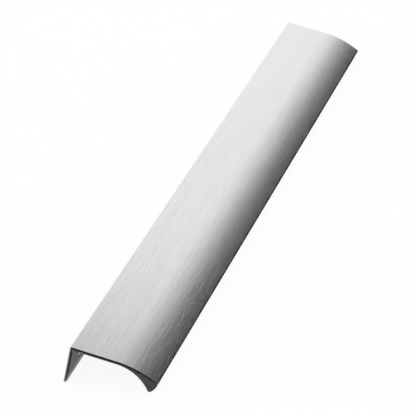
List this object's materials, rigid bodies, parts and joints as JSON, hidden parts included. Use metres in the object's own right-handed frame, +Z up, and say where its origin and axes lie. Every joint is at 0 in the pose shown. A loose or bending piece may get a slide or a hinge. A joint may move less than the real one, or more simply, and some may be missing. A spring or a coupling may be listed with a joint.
{
  "type": "finger pull profile",
  "caption": "Brushed aluminium edge pull: flat plate for a door's edge, a drilled flange behind it and a curved lip with a hollow for the fingers.",
  "frame": {"origin": "bottom centre of the bounding box, on the floor that the foot of the flange and the lower edge of the lip rest on", "axes": "+X from the flange to the lip, level; +Y along the profile's length; +Z up as the part lies by itself, which tilts the plate 12.3 degrees down towards the lip"},
  "size_m": [0.0388, 0.35, 0.016],
  "materials": {
    "brushed_aluminium": "brushed along the length, anodised"
  },
  "bodies": {
    "root": {"pull_profile": "brushed_aluminium"}
  },
  "joints": []
}
